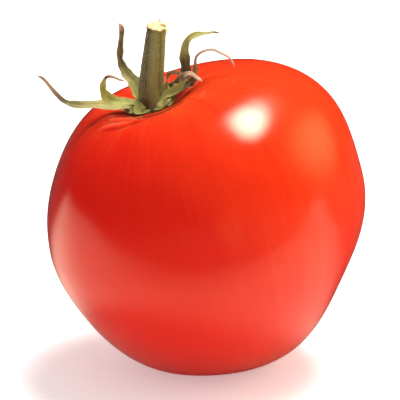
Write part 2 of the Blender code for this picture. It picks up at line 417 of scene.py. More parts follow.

# Each sepal's way in millimetres right of the hub, behind it and over the hollow. Evenly along
# it: the blade's width in millimetres, the way its upper face looks as right, behind and up,
# how far its edges roll up, and its dryness from 0, green, over 0.5, brown, to 1, a pale tip.
# The dark brown middles of the back sepals are partly drying and partly painted shade.
sepals = {
    "sepal_left": dict(
        out=181, widths=[3.6, 3.4, 3.1, 2.7, 2.1, 1.5, 1.1, 0.9, 0.6],
        cup=[0.30, 0.25, 0.30, 0.5, 0.8, 1.0],
        through=[
            (-4.4, 0.2, 0.6), (-8.4, -0.8, 0.5), (-11.6, -1.9, 0.8), (-15.5, -2.0, 1.1), (-18.0, -1.4, 2.2),
            (-19.4, -1.3, 4.4), (-20.5, -1.2, 6.8), (-21.3, -1.1, 8.4), (-22.5, -1.0, 9.5),
        ],
        facing=[
            (0.0, -0.15, 1.0), (0.0, -0.50, 0.9), (0.0, -0.60, 0.8), (0.3, -0.7, 0.6), (0.8, -0.6, 0.3),
        ],
        dryAndShade=[0.04, 0.10, 0.18, 0.26, 0.34, 0.52, 0.66, 0.60],
    ),
    "sepal_front_left": dict(
        out=238, widths=[3.2, 3.1, 2.7, 2.5, 2.5, 2.3, 1.7, 0.8, 0.6, 0.5],
        cup=[0.30, 0.40, 0.45, 0.5, 0.7, 1.0],
        through=[
            (-3.3, -2.3, 2.2), (-6.0, -2.8, 2.2), (-8.2, -3.5, 2.6), (-9.2, -3.9, 4.1), (-8.8, -4.3, 6.4),
            (-7.4, -4.2, 8.3), (-6.0, -4.3, 8.4), (-4.8, -4.3, 7.9), (-3.7, -4.3, 7.9),
        ],
        facing=[
            (-0.1, 0.05, 1.0), (0.1, -0.10, 1.0), (0.5, -0.8, 0.4), (0.45, -0.9, 0.0), (0.1, -0.9, -0.5),
        ],
        dryAndShade=[0.04, 0.06, 0.10, 0.00, 0.02, 0.10, 0.85, 0.85],
    ),
    "sepal_back_left": dict(
        out=120, widths=[3.2, 3.4, 3.3, 2.8, 2.1, 1.6, 1.5, 1.4, 1.1],
        cup=[0.35, 0.40, 0.50, 0.7, 0.9, 1.0],
        through=[
            (-2.2, 4.4, 1.4), (-3.0, 5.5, 3.8), (-4.4, 6.6, 5.5), (-5.0, 7.3, 7.6),
            (-4.5, 7.9, 10.1), (-3.6, 8.5, 12.3), (-3.0, 9.1, 14.0), (-3.2, 9.2, 15.2),
        ],
        facing=[(0.2, -0.7, 0.6), (0.25, -0.9, 0.2), (0.35, -0.9, 0.1), (0.6, -0.8, 0.0), (0.4, -0.9, 0.0)],
        # brown in its middle: partly drying and partly painted shade
        dryAndShade=[0.04, 0.08, 0.12, 0.30, 0.50, 0.54, 0.44, 0.95],
    ),
    "sepal_back_right": dict(
        out=60, widths=[3.0, 2.9, 2.6, 2.6, 2.6, 2.4, 2.2, 1.9, 1.4, 0.8, 0.5],
        cup=[0.30, 0.35, 0.4, 0.5, 0.6, 0.9],
        through=[
            (4.2, 3.4, 1.3), (7.1, 3.3, 1.3), (8.7, 4.5, 1.8), (9.3, 4.6, 4.6), (10.0, 4.8, 6.9),
            (11.2, 4.8, 8.1), (12.9, 4.9, 8.3), (15.2, 4.9, 8.0), (16.9, 4.9, 7.7), (18.2, 4.8, 7.0),
        ],
        facing=[
            (-0.3, -0.4, 0.9), (-0.4, -0.8, 0.3), (-0.35, -0.9, 0.1), (-0.2, -0.8, 0.6),
            (0.0, -0.5, 0.9), (0.2, -0.5, 0.9),
        ],
        # brown where it rises and greener on its lit top: partly drying and partly painted shade
        dryAndShade=[0.20, 0.34, 0.50, 0.50, 0.50, 0.20, 0.16, 0.20, 0.62],
    ),
    "sepal_right": dict(
        out=0, widths=[2.8, 2.4, 2.0, 1.6, 1.1, 0.8, 0.7, 0.7, 0.7, 0.6, 0.5],
        cup=[0.35, 0.5, 0.9, 1.0, 1.0, 1.0],
        through=[
            (5.0, 0.2, 1.2), (8.2, -0.4, 1.3), (10.1, 0.9, 1.5), (11.1, 1.1, 3.5), (12.1, 1.2, 5.3),
            (13.8, 1.2, 5.6), (15.6, 0.7, 5.4), (17.4, 0.2, 4.1), (18.8, 0.1, 2.7), (19.5, 0.0, 0.4),
        ],
        facing=[
            (-0.4, -0.4, 0.9), (-0.7, -0.6, 0.3), (-0.6, -0.8, 0.2), (0.0, -0.5, 0.9), (0.5, -0.5, 0.7),
        ],
        dryAndShade=[0.20, 0.35, 0.48, 0.50, 0.74, 0.80, 0.84, 0.80, 0.88],
    ),
    "sepal_front_right": dict(
        out=300, widths=[2.7, 2.5, 2.4, 1.9, 1.4, 1.0, 0.8],
        cup=[0.35, 0.6, 0.8, 0.9, 1.0],
        through=[
            (3.2, -2.1, 2.2), (5.8, -2.2, 2.0), (7.7, -2.6, 2.2), (8.4, -3.0, 3.7),
            (9.9, -3.1, 3.6), (11.1, -3.5, 2.1), (12.1, -4.0, 0.8),
        ],
        facing=[(0.0, 0.05, 1.0), (-0.4, -0.3, 0.8), (-0.6, -0.7, 0.4), (0.1, -0.6, 0.8), (0.6, -0.5, 0.6)],
        dryAndShade=[0.06, 0.08, 0.12, 0.20, 0.85, 1.0],
    ),
}

# Dry strips torn off the sepals, on the same kind of way
shreds = {
    "shred_curled": dict(
        through=[
            (4.1, -0.1, 2.6), (4.5, -1.0, 5.1), (5.5, -1.4, 6.1), (7.0, -1.9, 5.6),
            (8.0, -2.0, 3.8), (7.0, -1.5, 2.8), (5.6, -1.0, 3.7),
        ],
        widths=[1.6, 1.3, 1.0, 0.9, 0.8, 0.6], dryAndShade=[0.10, 0.30, 0.66, 0.72, 0.30],
    ),
    "shred_dark": dict(
        through=[(7.6, -0.4, 0.7), (9.4, -0.3, 1.0), (10.9, -0.4, 2.1), (11.8, 0.1, 3.6)],
        widths=[1.8, 1.8, 1.4, 0.7], dryAndShade=[0.50, 0.52, 0.52, 0.60],
    ),
}

axisAngle = math.atan(abs(fruitShape["hollowOffset"]) / fruitShape["crownHeight"])
crown = outline(np.array(axisAngle))[1]
seat = np.array([fruitShape["hollowOffset"], 0, crown - fruitShape["hollowDepth"] + calyxShape["gap"]])
rimHeight = (calyxShape["hubThickness"] + hollowRise(calyxShape["hubRadius"])) / 2


def evenly(values, share):
    # A list's values spread evenly from 0 to 1 and read at each share, in smooth steps
    values = np.array(values, float)
    place = share * (len(values) - 1)
    lower = np.clip(place.astype(int), 0, len(values) - 2)
    t = ease(place - lower, 0, 1) * 0.5 + (place - lower) * 0.5
    t = t[:, None] if values.ndim > 1 else t
    return values[lower] * (1 - t) + values[lower + 1] * t


def wayPoints(through):  # right of the hub, behind it and over the hollow, to the fruit's frame
    right, behind, height = np.array(through).T * millimetre
    return np.stack([right, behind, hollowRise(np.hypot(right, behind)) + height - rimHeight], axis=1)


def sepalWay(sepal):  # its root inside the hub's arm, its root's end and its own points
    shape = calyxShape
    around = math.radians(sepal["out"])
    outward = np.array([math.cos(around), math.sin(around), 0])
    root = shape["hubRadius"] - shape["rootDepth"]
    end = shape["hubRadius"] + shape["gap"] + shape["rootRun"]
    lifted = end * outward + np.array([0, 0, shape["rootRun"] * math.tan(shape["rootLift"])])
    return np.concatenate([[root * outward, lifted], wayPoints(sepal["through"])])


def makeBlade(name, centres, half, middle, cup, faces, drynessAndShade, seed):
    # A thin crescent carried along its way. At an angle t round its section, its place across
    # is the half width times cos t, and its place out of the face is the cup's rise plus half
    # the thickness times sin t, with a rib below, a groove above, fine veins and a ripple
    thinnest = calyxShape["edgeThickness"]
    share = np.linspace(0, 1, len(centres))[:, None]
    headings = unit(np.gradient(centres, axis=0))
    faces = unit(faces - headings * (faces * headings).sum(axis=1, keepdims=True))
    across = np.cross(faces, headings)
    half, middle, cup, drynessAndShade = (part[:, None] for part in (half, middle, cup, drynessAndShade))
    edge = thinnest + (middle - thinnest) * (1 - ease(half, 0.00025, 0.0007))
    edge = np.minimum(edge, middle)
    t = fullTurn(30)
    cosine, sine = np.cos(t), np.sin(t)
    thick = (edge + (middle - edge) * (1 - cosine**2)) / 2
    blade = ease(half, 0.0003, 0.0009)  # 0 in a thread, 1 in a full blade
    rise = cup * half * np.abs(cosine) ** 1.6 * blade
    rib = -0.00018 * bell(cosine, 0.22) * (sine < 0) - 0.00010 * bell(cosine, 0.16) * (sine > 0)
    veins = 0.00004 * np.cos(cosine * 14 + 0.6 * np.sin(share * 17))
    rippled = 0.00020 * np.sin(share * 29 + seed) * np.abs(cosine) ** 3 * np.sign(cosine)
    x = half * cosine * (1 + 0.08 * np.sin(share * 53 + seed) * blade)
    y = rise + thick * sine + (rib + veins * np.sign(sine) + rippled) * blade
    world = toWorld(swept(centres, across, faces, x, y) + seat + np.array([0, 0, rimHeight]))
    spotted = 0.05 * waves(world, 0.0035, seed + 30) + 0.03 * waves(world, 0.0012, seed + 60)
    values = {
        "drynessAndShade": np.clip(drynessAndShade + spotted, 0, 1),
        "inner": (1 + sine) / 2,
        "edge": np.abs(cosine) ** 4 * blade,
        "rib": bell(cosine, 0.2) * blade,
    }
    fibre = stacked(x, seed, share * travelled(centres)[-1])
    return gridMesh(name, world, values, {"fibre": fibre}), world


def makeSepal(name, sepal, seed):
    shape = calyxShape
    centres = smoothPath(sepalWay(sepal), 120)
    share = np.linspace(0, 1, len(centres))
    tip = 1 - ease(share, 0.955, 1.0) * 0.85
    uneven = 1 + 0.08 * waves(centres, 0.006, seed)
    half = evenly(sepal["widths"], share) * millimetre / 2 * uneven
    half = np.maximum(half, shape["threadRadius"]) * tip
    middle = shape["bladeThickness"] * (0.55 + 0.45 * ease(half, 0.0002, 0.0014))
    middle = np.maximum(middle, shape["threadRadius"] * 1.3) * tip
    cup, facing, dryAndShade = (evenly(sepal[part], share) for part in ("cup", "facing", "dryAndShade"))
    return makeBlade(name + "_leaf", centres, half, middle, cup, facing, dryAndShade, seed)


def makeShred(name, shred, seed):
    # A narrow strip whose face is carried along its way, twisting a little
    centres = smoothPath(wayPoints(shred["through"]), 90)
    share = np.linspace(0, 1, len(centres))
    tip = (1 - ease(share, 0.93, 1.0) * 0.85) * (0.4 + 0.6 * ease(share, 0, 0.06))
    half = evenly(shred["widths"], share) * millimetre / 2 * tip
    middle = calyxShape["shredThickness"] * tip
    faces = carried(centres, np.array([0, 1.0, 0.3]), 1.1 * np.sin(share * 5 + seed))[1]
    cup, dryAndShade = 0.5 + 0 * share, evenly(shred["dryAndShade"], share)
    return makeBlade(name, centres, half, middle, cup, faces, dryAndShade, seed)


def makeHub():
    # A cup turned round the stalk's foot: its outline runs from the middle of the top out to
    # the rim and back under. It reaches further, and rises, where it runs into a sepal.
    shape = calyxShape
    around = fullTurn(240)
    directions = np.radians([sepal["out"] for sepal in sepals.values()])
    arm = bell(angleApart(around[:, None], directions), shape["armSpread"]).max(axis=1)
    turn = np.linspace(0, math.pi, 44)[:, None]
    out = np.sin(turn) ** 0.8
    upright = np.abs(np.cos(turn))
    top = turn <= math.pi / 2
    radius = (shape["hubRadius"] * 0.86 + shape["armReach"] * arm) * out
    thickness = shape["hubThickness"] * 0.62 * (1 - 0.72 * out**3 * arm)
    flare = 0.0007 * bell(radius, 0.0031)
    middle = hollowRise(radius) * 0.85 + 0.0004 + np.maximum(radius - 0.0030, 0) * 0.45 * arm
    height = middle + np.where(top, thickness * upright**0.6 + flare, -0.0009 * upright**0.5)
    bumps = 0.00006 * ringNoise(around, 20, 50, 41) * out
    world = toWorld(cylinder(radius, around, height + bumps) + seat)
    below = world[..., 2].mean() - world[..., 2]
    values = {
        "drynessAndShade": 0.10 + 0.16 * ease(below, -0.001, 0.002) + 0.05 * waves(world, 0.003, 43),
        "inner": np.where(top, 1.0, 0.2),
        "edge": out**8 * 0.8,
    }
    fibre = stacked(around * 0.0035, radius * 0.3, 0)
    return gridMesh("calyx_star", world, values, {"fibre": fibre})


stalkShape = dict(
    footRadius=0.0029,
    topRadius=0.00198,
    length=0.0182,
    stations=170,  # how many sections there are along it
    sunk=0.0004,  # how far its foot is sunk into the hub
    bend=math.radians(20.0),
    bendEnd=0.35,
    shift=0.00026,
    ribs=5,
    ribHeight=0.00026,
    lineHeight=0.00005,  # the fine lines along the bark
    flare=0.00060,  # how much wider the foot is where it meets the hub
    tear=0.00028,  # how ragged the cut is
    slant=0.00042,  # how far the cut drops to the front
)


def stalkWay():
    # It leaves the hub along the fruit's axis and turns up past plumb over its first third.
    # Gives its centres and, at each, the directions across, out of the face and along.
    shape = stalkShape
    count = shape["stations"]
    angle = shape["bend"] * np.minimum(1, np.linspace(0, 1, count) / shape["bendEnd"])
    steps = stacked(np.sin(angle), 0, np.cos(angle)) * shape["length"] / (count - 1)
    start = seat + np.array([shape["shift"], 0, calyxShape["hubThickness"] - shape["sunk"]])
    centres = start + np.concatenate([np.zeros((1, 3)), np.cumsum(steps[:-1], axis=0)])
    across, faces = carried(centres, np.array([1.0, 0, 0]))
    return centres, across, faces, np.cross(across, faces)


def stalkRadius(share, around):
    # Straight taper, times ridges that twist slowly, plus fine lines and a flare at the foot
    shape = stalkShape
    radius = shape["footRadius"] + (shape["topRadius"] - shape["footRadius"]) * share
    radius = radius + shape["flare"] * np.exp(-share / 0.05) + 0.00012 * ease(share, 0.93, 1.0)
    turned = around + 0.5 * share
    ridge = np.abs(np.cos(turned * shape["ribs"] / 2)) ** 0.8 - 0.55
    lines = ringNoise(turned + 0.04 * np.sin(share * 21), 16, 40, 51)
    return radius + shape["ribHeight"] * ridge + shape["lineHeight"] * lines


def cutHeight(around):  # the rim is ragged, and stands higher at the back
    return stalkShape["tear"] * ringNoise(around, 2, 13, 61) + stalkShape["slant"] * np.sin(around)


def makeStalk():
    centres, across, faces, headings = stalkWay()
    share = np.linspace(0, 1, len(centres))[:, None]
    around = fullTurn(120)
    warts = 1 + 0.012 * waves(cylinder(1, around, share * 9), 0.9, 71)
    radius = stalkRadius(share, around) * warts
    lift = cutHeight(around) * ease(share, 0.9, 1.0)
    points = swept(centres, across, faces, radius * np.cos(around), radius * np.sin(around))
    world = toWorld(points + headings[:, None, :] * lift[..., None])
    foot = 1 - ease(share, 0.02, 0.22)
    values = {
        # greener on its right, browner on its left and at its foot: own colour and painted shade
        "green": 0.43 + 0.52 * np.cos(around + 0.45) - 0.28 * foot,
        "ridge": np.abs(np.cos((around + 0.5 * share) * stalkShape["ribs"] / 2)),
    }
    fibre = cylinder(1, around, share * 1.3) * 0.0026
    return gridMesh("stalk_bark", world, values, {"fibre": fibre}), world


def makeCut():
    # The torn end: a disc whose rim is the bark's, raised a little in the middle, with a
    # fibrous top. Its rows run from the middle of the top to the rim and back below.
    centre, across, face, heading = (part[-1] for part in stalkWay())
    around = fullTurn(120)
    turn = np.linspace(0, math.pi, 40)[:, None]
    out = np.sin(turn)
    radius = (stalkRadius(1.0, around) - 0.00008) * out
    flat = cylinder(radius, around, 0)
    fibres = 0.00013 * waves(flat, 0.00085, 81) + 0.00008 * waves(flat, 0.0004, 82)
    slant = stalkShape["slant"] * np.sin(around)
    slanted = slant * out + (cutHeight(around) - slant) * out**3
    top = slanted + 0.00034 * (1 - out**3) + 0.00004 + fibres * (1 - out**12)
    height = np.where(turn <= math.pi / 2, top, slanted - 0.0006 * np.abs(np.cos(turn)))
    points = swept(centre, across, face, flat[..., 0], flat[..., 1])
    return gridMesh("stalk_cut", toWorld(points + heading * height[..., None]), {"rim": out})


# Strips of bark and pith torn loose at the cut: each starts at an angle round the rim and
# goes out, sideways and up from there, in millimetres
splinters = {
    "splinter_long": dict(
        around=4, width=0.0011, thickness=0.00034,
        way=[(-1.4, 0.2, 0.35), (-0.2, 0.1, 0.42), (0.9, 0, 0.55), (1.8, -0.1, 0.42), (2.6, -0.1, 0.10)],
    ),
    "splinter_short": dict(
        around=-30, width=0.0012, thickness=0.00036,
        way=[(-0.5, 0, 0.15), (0.35, 0, 0.25), (0.75, -0.1, -0.25), (0.6, -0.1, -1.15)],
    ),
    "splinter_left": dict(
        around=205, width=0.0008, thickness=0.00024,
        way=[(-0.5, 0, 0.0), (0.1, 0, 0.25), (0.35, 0.1, 0.55)],
    ),
    "splinter_back": dict(
        around=75, width=0.0010, thickness=0.00026,
        way=[(-0.6, 0, 0.1), (0.0, 0, 0.45), (-0.2, 0.1, 0.95)],
    ),
}


def makeSplinter(name, strip, seed):
    # A flat oval section that narrows to a ragged point along a short bent way
    centre, across, face, heading = (part[-1] for part in stalkWay())
    around = math.radians(strip["around"])
    outward = math.cos(around) * across + math.sin(around) * face
    sideways = math.cos(around) * face - math.sin(around) * across
    rim = centre + outward * stalkShape["topRadius"] + heading * cutHeight(np.array(around))
    way = [rim + (o * outward + s * sideways + u * heading) * millimetre for o, s, u in strip["way"]]
    path = smoothPath(way, 40)
    sides, tops = carried(path, sideways)
    share = np.linspace(0, 1, len(path))[:, None]
    t = fullTurn(16)
    taper = (1 - share**2.2) * (0.85 + 0.15 * np.cos(share * 23 + seed)) + 0.03
    x = strip["width"] / 2 * taper * np.cos(t)
    y = strip["thickness"] / 2 * (taper * 0.7 + 0.3 * (1 - share)) * np.sin(t)
    y = y + 0.00004 * np.cos(x * 21000)
    return gridMesh(name, toWorld(swept(path, sides, tops, x, y)), {"rim": 0.25 + 0.65 * share})


def makeHairs(name, surfaces, counts, length, radius):
    # Three-sided spikes that stand on the surfaces' outward directions and lean over: each has
    # three rings that narrow to a point, worked out for all the hairs at once
    roots, directions = [], []
    for world, count in zip(surfaces, counts):
        normals = gridNormals(world)
        row = random.integers(3, world.shape[0] - 8, count)
        column = random.integers(0, world.shape[1], count)
        picked, normal = world[row, column], normals[row, column]
        centre = world[row].mean(axis=1)
        inward = ((picked - centre) * normal).sum(axis=1) < 0
        normal = np.where(inward[:, None], -normal, normal)
        roots.append(picked)
        directions.append(unit(normal + random.normal(size=(count, 3)) * 0.35))
    roots, directions = np.concatenate(roots), np.concatenate(directions)
    count = len(roots)
    lengths = length * random.uniform(0.5, 1.2, (count, 1, 1))
    droop = random.normal(size=(count, 3)) * 0.25 + np.array([0, 0, -0.1])
    side = unit(np.cross(directions, directions[:, [1, 2, 0]] + 0.01))
    other = np.cross(directions, side)
    share = np.array([-0.12, 0.35, 0.75])[None, :, None]
    width = np.array([1.0, 0.75, 0.4])
    spine = roots[:, None] + lengths * (share * directions[:, None] + share**2 * droop[:, None])
    angle = np.arange(3) * 2 * math.pi / 3
    ring = np.cos(angle)[:, None] * side[:, None, :] + np.sin(angle)[:, None] * other[:, None, :]
    rings = spine[:, :, None, :] + radius * width[None, :, None, None] * ring[:, None]
    tips = roots[:, None] + lengths * (directions[:, None] + droop[:, None])
    vertices = np.concatenate([rings.reshape(count, 9, 3), tips], axis=1)
    pairs = [(start + c, start + (c + 1) % 3) for start in (0, 3) for c in range(3)]
    walls = [[a, b, b + 3, a + 3] for a, b in pairs]
    caps = [[6 + c, 6 + (c + 1) % 3, 9] for c in range(3)] + [[2, 1, 0]]
    firsts = 10 * np.arange(count)[:, None, None]  # a hair has ten points
    quads = (np.array(walls) + firsts).reshape(-1, 4)
    triangles = (np.array(caps) + firsts).reshape(-1, 3)
    mesh = bpy.data.meshes.new(name)
    mesh.from_pydata(vertices.reshape(-1, 3).tolist(), [], quads.tolist() + triangles.tolist())
    mesh.shade_smooth()
    return newObject(name, mesh)


def feed(tree, socket, value):  # another node's output, a colour or a number
    if isinstance(value, bpy.types.NodeSocket):
        tree.links.new(value, socket)
    else:
        socket.default_value = (*value, 1) if socket.type == "RGBA" else value


def setInputs(tree, node, **sockets):
    for key, value in sockets.items():
        feed(tree, node.inputs[key.replace("_", " ")], value)


def addNode(tree, kind, settings=None, **sockets):
    node = tree.nodes.new(kind)
    for key, value in (settings or {}).items():
        setattr(node, key, value)
    setInputs(tree, node, **sockets)
    return node


def ramp(tree, factor, stops):
    node = addNode(tree, "ShaderNodeValToRGB", Fac=factor)
    line = node.color_ramp
    while len(line.elements) < len(stops):
        line.elements.new(0.5)
    for element, (place, colour) in zip(line.elements, stops):
        element.position = place
        element.color = (*colour, 1)
    return node.outputs["Color"]


def mixColour(tree, factor, first, second):
    # A Mix node's sockets have shared names, so they go by their numbers
    node = addNode(tree, "ShaderNodeMix", dict(data_type="RGBA"))
    for number, value in ((0, factor), (6, first), (7, second)):
        feed(tree, node.inputs[number], value)
    return node.outputs[2]


def calculate(tree, operation, *values, clamp=False):
    node = addNode(tree, "ShaderNodeMath", dict(operation=operation, use_clamp=clamp))
    for socket, value in zip(node.inputs, values):
        feed(tree, socket, value)
    return node.outputs[0]


def times(tree, first, second, clamp=False):
    return calculate(tree, "MULTIPLY", first, second, clamp=clamp)


def timesPlus(tree, first, second, added, clamp=False):
    return calculate(tree, "MULTIPLY_ADD", first, second, added, clamp=clamp)


def minus(tree, first, second, clamp=False):
    return calculate(tree, "SUBTRACT", first, second, clamp=clamp)


def tinted(tree, colour, other, amount, strength, clamp=False):
    return mixColour(tree, times(tree, amount, strength, clamp=clamp), colour, other)


def eased(tree, value, start, end):  # 0 at start and 1 at end, in a smooth S
    smooth = dict(interpolation_type="SMOOTHSTEP")
    node = addNode(tree, "ShaderNodeMapRange", smooth, Value=value, From_Min=start, From_Max=end)
    return node.outputs["Result"]


def attribute(tree, name, output="Fac"):
    return addNode(tree, "ShaderNodeAttribute", dict(attribute_name=name)).outputs[output]


def newGroup(name, output, *numbers):
    # Its inputs are a vector and the numbers, and its one output is a number
    group = bpy.data.node_groups.new(name, "ShaderNodeTree")
    group.interface.new_socket("Vector", in_out="INPUT", socket_type="NodeSocketVector")
    for label in numbers:
        group.interface.new_socket(label, in_out="INPUT", socket_type="NodeSocketFloat")
    group.interface.new_socket(output, in_out="OUTPUT", socket_type="NodeSocketFloat")
    given, made = group.nodes.new("NodeGroupInput"), group.nodes.new("NodeGroupOutput")
    return group, given.outputs, made.inputs[output]


def makeMottleGroup():
    # Cloudy patches: soft noise spread to the whole range from 0 to 1
    group, given, made = newGroup("mottle", "Patches", "Scale", "Contrast")
    noise = addNode(
        group, "ShaderNodeTexNoise", Vector=given["Vector"], Scale=given["Scale"], Detail=3.0
    )
    centred = minus(group, noise.outputs["Fac"], 0.5)
    feed(group, made, timesPlus(group, centred, given["Contrast"], 0.5, clamp=True))
    return group


def makeFibreGroup():
    # Long lines: noise whose places are squeezed across and stretched along, plus finer ones
    group, given, made = newGroup("fibre lines", "Lines", "Scale", "Stretch")
    parts = addNode(group, "ShaderNodeSeparateXYZ", Vector=given["Vector"]).outputs
    along = times(group, parts["Z"], given["Stretch"])
    squeezed = addNode(group, "ShaderNodeCombineXYZ", X=parts["X"], Y=parts["Y"], Z=along)
    coarse = addNode(
        group, "ShaderNodeTexNoise", Vector=squeezed.outputs[0], Scale=given["Scale"],
        Detail=4.0, Roughness=0.65,
    )
    centred = minus(group, coarse.outputs["Fac"], 0.5)
    feed(group, made, timesPlus(group, centred, 2.6, 0.5, clamp=True))
    return group


def makeGrainGroup():
    # The finest surface: cells and noise together, as a height for a Bump node
    group, given, made = newGroup("fine grain", "Height", "Scale", "Cells")
    place = dict(Vector=given["Vector"], Scale=given["Scale"])
    noise = addNode(group, "ShaderNodeTexNoise", Detail=3.0, **place)
    cells = addNode(group, "ShaderNodeTexVoronoi", **place)
    weighed = times(group, cells.outputs["Distance"], given["Cells"])
    feed(group, made, calculate(group, "ADD", noise.outputs["Fac"], weighed))
    return group


groups = dict(mottle=makeMottleGroup(), fibre=makeFibreGroup(), grain=makeGrainGroup())


def effect(tree, name, place, **sockets):
    node = addNode(tree, "ShaderNodeGroup", dict(node_tree=groups[name]), Vector=place, **sockets)
    return node.outputs[0]


def newMaterial(name):
    material = bpy.data.materials.new(name)
    material.use_nodes = True
    tree = material.node_tree
    shader = tree.nodes["Principled BSDF"]
    place = addNode(tree, "ShaderNodeTexCoord").outputs["Object"]
    return material, tree, shader, place


def bumped(tree, shader, height, strength, distance):
    bump = addNode(tree, "ShaderNodeBump", Height=height, Strength=strength, Distance=distance)
    tree.links.new(bump.outputs["Normal"], shader.inputs["Normal"])


skinLook = dict(
    deepRed=(0.58, 0.0066, 0.0032),
    ripeRed=(0.62, 0.0080, 0.0034),
    # painted light: the lighter, warmer red of the side the lamps face
    litRed=(0.80, 0.032, 0.0050),
    gold=(0.95, 0.115, 0.016),
    speck=(0.48, 0.020, 0.004),
    cork=(0.30, 0.16, 0.06),
    # the stem scar's darker ring and painted shade under the calyx
    collarShade=(0.14, 0.016, 0.004),
    # painted shade in the creases' valleys and a painted highlight on their ridges
    valleyShade=(0.30, 0.005, 0.003),
    ridge=(0.90, 0.130, 0.075),
    # painted shade: the dark red of the groove under the calyx's front
    shadedGroove=(0.200, 0.009, 0.003),
    roughness=0.15,
    coat=0.22,
)


def makeSkin():
    look = skinLook
    material, tree, shader, place = newMaterial("tomato skin")
    # painted light: deep red low on its left, lighter and warmer towards the side the lamps face, with soft
    # clouds of its own tone between
    clouds = effect(tree, "mottle", place, Scale=34.0, Contrast=2.2)
    litFacing = minus(tree, attribute(tree, "warmthAndLight"), 0.17)
    warmthAndLight = timesPlus(tree, clouds, 0.34, litFacing, clamp=True)
    reds = [(0.0, look["deepRed"]), (0.45, look["ripeRed"]), (1.0, look["litRed"])]
    colour = ramp(tree, warmthAndLight, reds)
    # gold streaks run from the stem end towards the blossom end and fade out on the way; they reach further
    # where the painted light is
    meridian = attribute(tree, "meridian", "Vector")
    streaks = effect(tree, "fibre", meridian, Scale=15.0, Stretch=0.25)
    reach = timesPlus(tree, attribute(tree, "shoulder"), 0.42, times(tree, warmthAndLight, 0.16))
    colour = tinted(tree, colour, look["gold"], streaks, reach)
    # faint specks, one in each cell, as strong as the cell's own chance value
    dots = addNode(tree, "ShaderNodeTexVoronoi", Vector=place, Scale=420.0, Randomness=1.0)
    soft = eased(tree, dots.outputs["Distance"], 0.34, 0.10)
    chance = addNode(tree, "ShaderNodeSeparateColor", Color=dots.outputs["Color"])
    faint = times(tree, chance.outputs[0], 0.30)
    colour = tinted(tree, colour, look["speck"], soft, faint)
    cork = times(tree, attribute(tree, "blossom"), 0.85)
    colour = mixColour(tree, cork, colour, look["cork"])
    # the stem scar's ring and painted shade in the hollow under the calyx
    colour = tinted(tree, colour, look["collarShade"], attribute(tree, "collarShade"), 0.85)
    # the creases: painted shade in their valleys and a painted highlight on their ridges
    crease = attribute(tree, "crease")
    colour = tinted(tree, colour, look["valleyShade"], crease, -2.0, clamp=True)
    colour = tinted(tree, colour, look["ridge"], crease, 1.8, clamp=True)
    # painted shade darkens the groove under the calyx's front; it is also rougher there and has no coat
    grooveShade = attribute(tree, "shadedGroove")
    colour = mixColour(tree, grooveShade, colour, look["shadedGroove"])
    dull = timesPlus(tree, cork, 0.4, times(tree, clouds, 0.06))
    dull = timesPlus(tree, grooveShade, 0.15, dull)
    smooth = minus(tree, 1.0, grooveShade, clamp=True)
    setInputs(
        tree, shader, Base_Color=colour, IOR=1.43, Specular_Tint=(1.0, 0.82, 0.56),
        Roughness=calculate(tree, "ADD", dull, look["roughness"]),
        Coat_Weight=times(tree, smooth, look["coat"]), Coat_Roughness=0.12, Coat_IOR=1.4,
        Subsurface_Weight=0.18, Subsurface_Radius=(1.0, 0.16, 0.06), Subsurface_Scale=0.0030,
    )
    grain = effect(tree, "grain", place, Scale=1500.0, Cells=0.3)
    rolling = addNode(tree, "ShaderNodeTexNoise", Vector=place, Scale=160.0, Detail=1.0)
    height = timesPlus(tree, rolling.outputs["Fac"], 7.0, times(tree, grain, 0.30))
    bumped(tree, shader, height, 0.30, 0.00003)
    return material


leafLook = dict(
    green=(0.410, 0.445, 0.060),
    olive=(0.500, 0.410, 0.105),
    brown=(0.085, 0.040, 0.016),
    rust=(0.300, 0.115, 0.060),
    pink=(0.560, 0.300, 0.210),
    cream=(0.720, 0.520, 0.340),
    paleRib=(0.560, 0.520, 0.250),
    # a dark tint for the leaf's own dark patches, and for painted shade on its lower faces
    under=(0.095, 0.095, 0.018),
)


def makeLeaf():
    look = leafLook
    material, tree, shader, place = newMaterial("sepal leaf")
    stops = zip((0.0, 0.26, 0.50, 0.62, 0.80, 1.0), ("green", "olive", "brown", "rust", "pink", "cream"))
    colour = ramp(tree, attribute(tree, "drynessAndShade"), [(stop, look[name]) for stop, name in stops])
    patches = effect(tree, "mottle", place, Scale=620.0, Contrast=2.6)
    colour = tinted(tree, colour, look["under"], patches, 0.38)
    # painted shade: each blade's lower face and the hub's underside are darkened
    lower = minus(tree, 0.60, attribute(tree, "inner"), clamp=True)
    colour = tinted(tree, colour, look["under"], lower, 0.7)
    lines = effect(tree, "fibre", attribute(tree, "fibre", "Vector"), Scale=3600.0, Stretch=0.12)
    ribs = times(tree, attribute(tree, "rib"), 0.35)
    pale = timesPlus(tree, attribute(tree, "edge"), 0.75, ribs)
    pale = timesPlus(tree, lines, 0.22, pale, clamp=True)
    colour = tinted(tree, colour, look["paleRib"], pale, 0.55)
    setInputs(
        tree, shader, Base_Color=colour, Roughness=timesPlus(tree, patches, 0.2, 0.46),
        Sheen_Weight=0.06, Sheen_Roughness=0.4, Subsurface_Weight=0.12,
        Subsurface_Scale=0.0008, Subsurface_Radius=(0.8, 0.9, 0.3),
    )
    grain = effect(tree, "grain", place, Scale=5200.0, Cells=0.8)
    bumped(tree, shader, timesPlus(tree, lines, 1.6, grain), 0.7, 0.00008)
    return material


barkLook = dict(
    brown=(0.062, 0.028, 0.006),
    olive=(0.170, 0.150, 0.034),
    green=(0.250, 0.275, 0.048),
    pale=(0.420, 0.350, 0.140),
    # painted shade in the furrows between the ridges
    furrowShade=(0.048, 0.034, 0.010),
)


